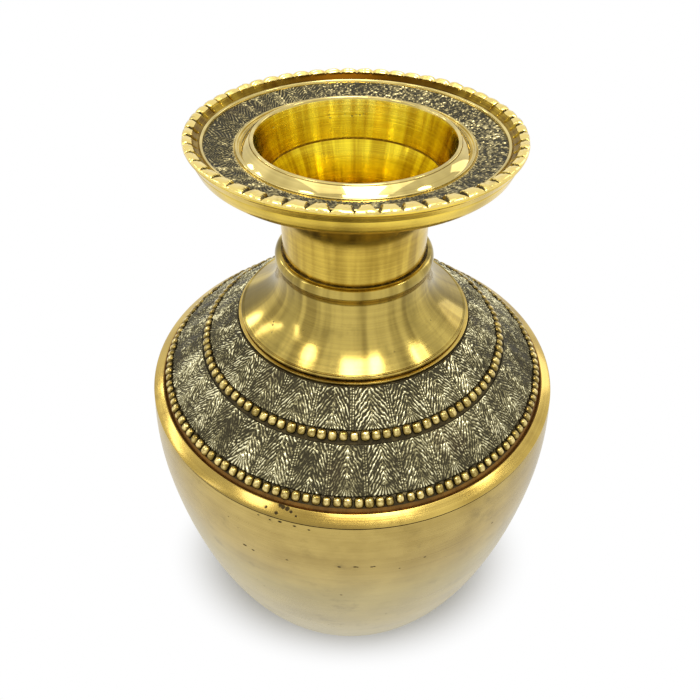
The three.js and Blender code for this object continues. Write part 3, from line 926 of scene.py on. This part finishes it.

# The height bands here are painted reflections of the pale floor: from 99 mm down the gold turns
# greener and less saturated, most strongly from 60 mm down.
satin = turned_brass(
    "satin_bowl_brass", (0.63, 0.465, 0.13), (0.31, 0.205, 0.036), 0.3, lines=0.35, aniso=0.5,
    coarse=0.45, pits=BOWL_PITS, stripes=(2.2, 0.3, 3.0), scratch=0.5, coat=0.36, coat_rough=0.2,
    smears=24.0, tarnish=0.55, cloudy=0.35, edge=(0.92, 0.91, 0.84),
    shade=[(99, 78, 0.4, (0.42, 0.37, 0.16)), (60, 20, 0.75, (0.37, 0.335, 0.135))],
)
# The darker places at the listed angles are painted dark reflections on the collar; its bright and
# dull bands are mop marks and painted reflections.
polished = turned_brass(
    "polished_brass", (0.60, 0.45, 0.105), (0.22, 0.15, 0.027), 0.16, lines=0.12, aniso=0.35,
    stripes=(6.0, 0.65, 1.0), coat=0.18, coat_rough=0.06, tarnish=0.4, cloudy=0.3,
    streaks=[(-178, 15, 0.8), (-136, 7, 0.4), (-48, 9, 0.4), (-8, 14, 0.4), (60, 20, 0.3)],
)
lip_brass = turned_brass(
    "polished_lip_brass", (0.87, 0.69, 0.24), (0.46, 0.35, 0.10), 0.07, lines=0.06, aniso=0.2,
    stripes=(3.0, 0.6, 5.0), coat=0.4, coat_rough=0.05,
)
# Darker metal facing -115 and -92 degrees is a painted dark reflection.
band_brass = turned_brass(
    "polished_band_brass", (0.72, 0.52, 0.12), (0.31, 0.195, 0.03), 0.19, lines=0.15, aniso=0.3,
    pits=BAND_PITS, stripes=(2.6, 0.4, 9.0), scratch=0.5, coat=0.3, coat_rough=0.1, tarnish=0.6,
    streaks=[(-115, 24, 0.6), (-92, 12, 0.4)], cloudy=0.3,
)
# The dark, patchy band from 165.8 mm up, just under the dish, is a painted dark reflection of the
# dish's underside.
neck_brass = turned_brass(
    "turned_neck_brass", (0.80, 0.57, 0.09), (0.34, 0.215, 0.022), 0.2, lines=0.16, aniso=0.5,
    stripes=(5.0, 0.55, 2.0), scratch=0.45, coat=0.2, coat_rough=0.12, tarnish=0.5, cloudy=0.3,
    shade=[(165.8, 168.6, 0.9, (0.08, 0.045, 0.006))],
)
# The strong bright and dull bands round the bore are painted reflections of light bouncing inside
# it, as well as mop marks.
bore_brass = turned_brass(
    "bright_bore_brass", (1.0, 0.90, 0.17), (0.58, 0.42, 0.045), 0.15, lines=0.5, aniso=0.6,
    pits=BORE_PITS, stripes=(8.0, 0.75, 0.0), scratch=1.0, fine=4.5,
)
# A deeper, more saturated copy of the bore's brass for the tube below: its colour is painted
# reflection, standing for light bounced round inside the narrow tube.
painted_reflection_tube_brass = turned_brass(
    "deep_bore_brass", (1.0, 0.79, 0.04), (0.48, 0.30, 0.010), 0.16, lines=0.5, aniso=0.6,
    stripes=(8.0, 0.75, 0.0), scratch=0.9, fine=4.5,
)
# Darker metal facing -150 degrees is a painted dark reflection.
wall_brass = turned_brass(
    "turned_dish_brass", (1.0, 0.73, 0.10), (0.50, 0.34, 0.035), 0.2, lines=0.2, aniso=0.5,
    stripes=(3.6, 0.6, 4.0), scratch=0.5, coat=0.2, coat_rough=0.15, tarnish=0.4,
    streaks=[(-150, 25, 0.4)],
)
# The whole far side of the cove, facing 90 degrees, is painted dark: a painted dark reflection.
cove_brass = turned_brass(
    "copper_brown_cove", (0.42, 0.28, 0.030), (0.075, 0.028, 0.001), 0.3, lines=0.4, aniso=0.4,
    stripes=(7.0, 0.6, 7.0), scratch=0.8, fine=5.0, streaks=[(90, 66, 1.0)],
)
rim_brass = antique_brass(
    "filed_rim_brass", (0.88, 0.68, 0.21), (0.42, 0.30, 0.07), (0.045, 0.032, 0.010),
    (0.9, 0.3), speckle=0.8, patches=0.8, rough=0.32, grit=1100.0, patch=260.0,
)
leaf_brass = antique_brass(
    "chased_leaf_brass", (0.88, 0.82, 0.52), (0.31, 0.27, 0.13), (0.052, 0.044, 0.023),
    (0.88, 0.43), grit=1900.0, speckle=0.85, patch=60.0, patches=0.8,
)
# On the beads the bright tops are rubbed wear and a painted highlight, and the darker low sides
# are painted shade.
bead_brass = antique_brass(
    "bead_brass", (0.95, 0.76, 0.31), (0.26, 0.18, 0.038), (0.045, 0.032, 0.010), (0.78, 0.1),
    speckle=0.75, patches=0.8, rough=0.25, patch=420.0, grit=1300.0,
)
seat_brass = antique_brass(
    "bead_seat_brass", (0.26, 0.20, 0.08), (0.10, 0.075, 0.03), (0.03, 0.023, 0.011),
    (0.8, 0.1), speckle=0.9, patches=0.9, patch=240.0,
)
groove_brass = antique_brass(
    "brown_groove_brass", (0.36, 0.19, 0.04), (0.27, 0.135, 0.028), (0.12, 0.06, 0.016),
    (0.9, 0.1), patches=0.9, patch=160.0, rough=0.4,
)
floor_brass = antique_brass(
    "chased_floor_brass", (0.60, 0.51, 0.25), (0.22, 0.18, 0.08), (0.034, 0.030, 0.017),
    (0.82, 0.3), grit=2000.0, speckle=0.75, patch=80.0, patches=0.6,
)
filler = filler_metal("filler")
bore_filler = filler_metal("bore_filler", (0.34, 0.19, 0.015), (0.62, 0.40, 0.04))
neck_filler = filler_metal("neck_filler", (0.045, 0.03, 0.010), (0.26, 0.17, 0.04))


# ---- Pieces


def place(piece, materials, node, slot):
    """Gives a piece its materials, puts it on the frame's body for one CAD node."""
    for material in materials:
        piece.data.materials.append(material)
    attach(piece, "root")
    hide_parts(node)


def paint(piece, choose):
    """Sets each face's material slot from its middle: choose(radius, height, angle)."""
    count = len(piece.data.polygons)
    centre = np.empty(count * 3, np.float32)
    piece.data.polygons.foreach_get("center", centre)
    centre = centre.reshape(-1, 3) / MM
    angle = np.arctan2(centre[:, 1], centre[:, 0])
    index = choose(np.hypot(centre[:, 0], centre[:, 1]), centre[:, 2], angle).astype(np.int32)
    piece.data.polygons.foreach_set("material_index", index)


SHOULDER = ("shoulder", "antiqued_brass")
DISH = ("mouth_dish", "dish_brass")

bowl = turned_piece("bowl_body", bowl_profile(), 320, poles=True)
place(bowl, [satin], "bowl", "satin_brass")
seam = seam_piece("waist_seam", 57.8, 59.6, BOWL_TOP, SHOULDER_FOOT, 0.16, 21)
place(seam, [filler], "waist_braze", "filler_metal")
casting = turned_piece("shoulder_casting", shoulder_profile(), 360)
casting_recess = casting.data.attributes.new("recess", "FLOAT", "POINT")
casting_recess.data.foreach_set("value", np.full(len(casting.data.vertices), 0.5, np.float32))
place(casting, [band_brass, seat_brass, groove_brass], *SHOULDER)
paint(
    casting,
    lambda r, z, a: np.where(
        (r > 55.7) & (r < 57.0) & (z > 115.4) & (z < 116.4),
        2,
        (r < 56.5) & (z > 115.0) & (z < 134.8),
    ),
)
place(bead_ring("inner_beads", seed=31, **INNER_BEADS), [bead_brass], *SHOULDER)
place(bead_ring("outer_beads", seed=32, **OUTER_BEADS), [bead_brass], *SHOULDER)
leaves = leaf_band("inner_leaves", *INNER_BAND, 25, math.radians(-90), 1500, 60, 41)
place(leaves, [leaf_brass], *SHOULDER)
leaves = leaf_band("outer_leaves", *OUTER_BAND, 35, math.radians(-96.3), 1540, 62, 51)
place(leaves, [leaf_brass], *SHOULDER)
seam = seam_piece("collar_seam", 28.6, 31.55, SEAT_TOP, COLLAR_FOOT, 0.05, 22)
place(seam, [filler], "collar_braze", "filler_metal")
place(turned_piece("collar_flare", collar_profile()), [polished], "collar", "polished_brass")
seam = seam_piece("neck_seam", 18.94, 19.32, COLLAR_TOP - 0.2, COLLAR_TOP + 0.12, 0.11, 23)
place(seam, [neck_filler], "neck_braze", "filler_metal")
neck = turned_piece("neck_tube_wall", neck_profile())
place(neck, [neck_brass, painted_reflection_tube_brass], "neck_tube", "polished_brass")
paint(neck, lambda r, z, a: r < np.interp(z, *neck_middle()))
seam = seam_piece("bore_seam", 21.67, 23.0, NECK_TOP, NECK_TOP + SEAM, 0.0, 24)
place(seam, [bore_filler], "mouth_braze", "filler_metal")
throat = turned_piece("mouth_throat", throat_profile())
place(throat, [lip_brass, bore_brass], *DISH)
paint(throat, lambda r, z, a: (r < 23.45) & (z > 174.5))
place(dish_floor("mouth_floor", 28.0, 34.7, 1560, 48, 61), [floor_brass], *DISH)
rim = notched_rim("mouth_rim")
place(rim, [wall_brass, rim_brass, cove_brass, lip_brass], *DISH)
rim_turn = NOTCHES / (2 * np.pi)
paint(
    rim,
    lambda r, z, a: np.select(
        [
            (r > 34.5) & (r < 35.42) & (z > 184.2) & (z < 185.16),
            (r < 37.1) & (z > 184.5) & (z < 186.3)
            & ((np.abs(a * rim_turn % 1 - 0.5) > 0.15) | (z < 185.5) | (np.sin(a) > -0.6)),
            (z > 186.25) | (z > 184.5) & (r < 38.2),
        ],
        [3, 2, 1], 0,
    ),
)


# ---- Camera, light and floor

FILL_STRENGTH = 0.27
PANEL_AIM = (0, 0, 0.14)


def add_camera():
    """The photograph's view: 43 degrees down from 0.28 m, almost no roll."""
    data = bpy.data.cameras.new("view")
    data.sensor_width = 36
    data.lens = 30.37
    data.clip_start = 0.01
    data.shift_x = -0.0041
    camera = bpy.data.objects.new("view", data)
    camera.location = (0, -133.44 * MM, 241.14 * MM)
    facing = Euler((math.radians(90 - 43.04), 0, 0)).to_matrix()
    roll = Euler((0, 0, math.radians(0.82))).to_matrix()
    camera.rotation_euler = (facing @ roll).to_euler()
    bpy.context.scene.collection.objects.link(camera)
    bpy.context.scene.camera = camera


def add_lamp(name, size, place_at, aim, power, shape="RECTANGLE"):
    data = bpy.data.lights.new(name, "AREA")
    data.shape = shape
    data.size, data.size_y = size
    data.energy = power
    lamp = bpy.data.objects.new(name, data)
    lamp.location = place_at
    lamp.rotation_euler = (Vector(aim) - Vector(place_at)).to_track_quat("-Z", "Y").to_euler()
    bpy.context.scene.collection.objects.link(lamp)


def add_world():
    """White where the camera or a reflection looks past the pot, a plain fill elsewhere."""
    recipe = Recipe(bpy.data.worlds.new("studio"))
    camera, glossy, through = recipe.outputs(
        "ShaderNodeLightPath", None, "Is Camera Ray", "Is Glossy Ray", "Is Transmission Ray"
    )
    seen = {"Value": camera.top(glossy).top(through), "To Min": FILL_STRENGTH}
    background = recipe.node(
        "ShaderNodeBackground",
        sockets={"Color": (1, 1, 1, 1), "Strength": recipe.node("ShaderNodeMapRange", None, seen)},
    )
    recipe.node("ShaderNodeOutputWorld", sockets={"Surface": background})
    bpy.context.scene.world = recipe.owner


def add_floor():
    """A pale floor that keeps the pot's shadow and turns into the white background over an
    oval: sqrt(x² + (1.5 y)²) runs from 0.047 to 0.08 m."""
    size = 3.0
    mesh = bpy.data.meshes.new("floor")
    mesh.from_pydata(
        [(-size, -size, 0), (size, -size, 0), (size, size, 0), (-size, size, 0)],
        [], [(0, 1, 2, 3)],
    )
    floor = bpy.data.objects.new("floor", mesh)
    bpy.context.scene.collection.objects.link(floor)
    recipe = Recipe(bpy.data.materials.new("pale_floor"))
    diffuse = recipe.node("ShaderNodeBsdfDiffuse", sockets={"Color": (0.88, 0.88, 0.88, 1)})
    white = recipe.node("ShaderNodeEmission", sockets={"Color": (1, 1, 1, 1), "Strength": 1.0})
    camera, glossy = recipe.outputs(
        "ShaderNodeLightPath", None, "Is Camera Ray", "Is Glossy Ray"
    )
    x, y, _ = recipe.split(recipe.position())
    far = recipe.node(
        "ShaderNodeVectorMath", {"operation": "LENGTH"}, {0: recipe.vector(x, y * 1.5, 0.0)},
        "Value",
    ).ease(0.047, 0.08)
    both = recipe.node(
        "ShaderNodeMixShader", sockets={0: far * camera.top(glossy), 1: diffuse, 2: white}
    )
    recipe.node("ShaderNodeOutputMaterial", sockets={"Surface": both})
    mesh.materials.append(recipe.owner)


add_camera()
add_world()
add_floor()
add_lamp("overhead", (0.7, 0.7), (0, 0.15, 0.95), (0, 0, 0.1), 1.4)
add_lamp("ceiling_panel", (0.145, 0.2125), (0.032, -0.019, 0.6), (0.032, -0.0189, 0), 0.85)
add_lamp("near_panel", (0.22, 0.07), (0.052, -0.16, 0.6), (0.052, -0.1599, 0), 0.4)
add_lamp("left_round", (0.1, 0.1), (-0.27, -0.132, 0.6), PANEL_AIM, 0.2, "ELLIPSE")
add_lamp("right_round", (0.1, 0.1), (0.385, -0.017, 0.6), PANEL_AIM, 0.2, "ELLIPSE")
add_lamp("left_window_far", (0.1, 0.12), (-0.825, 0.54, 0.6), PANEL_AIM, 0.3)
add_lamp("left_window_near", (0.26, 0.07), (-0.7, 0.19, 0.6), PANEL_AIM, 0.28)
add_lamp("left_strip", (0.06, 0.25), (-0.594, -0.154, 0.6), PANEL_AIM, 0.13)
add_lamp("right_window", (0.18, 0.4), (0.584, 0.457, 0.45), PANEL_AIM, 0.35)

bpy.context.scene.view_settings.view_transform = "Standard"
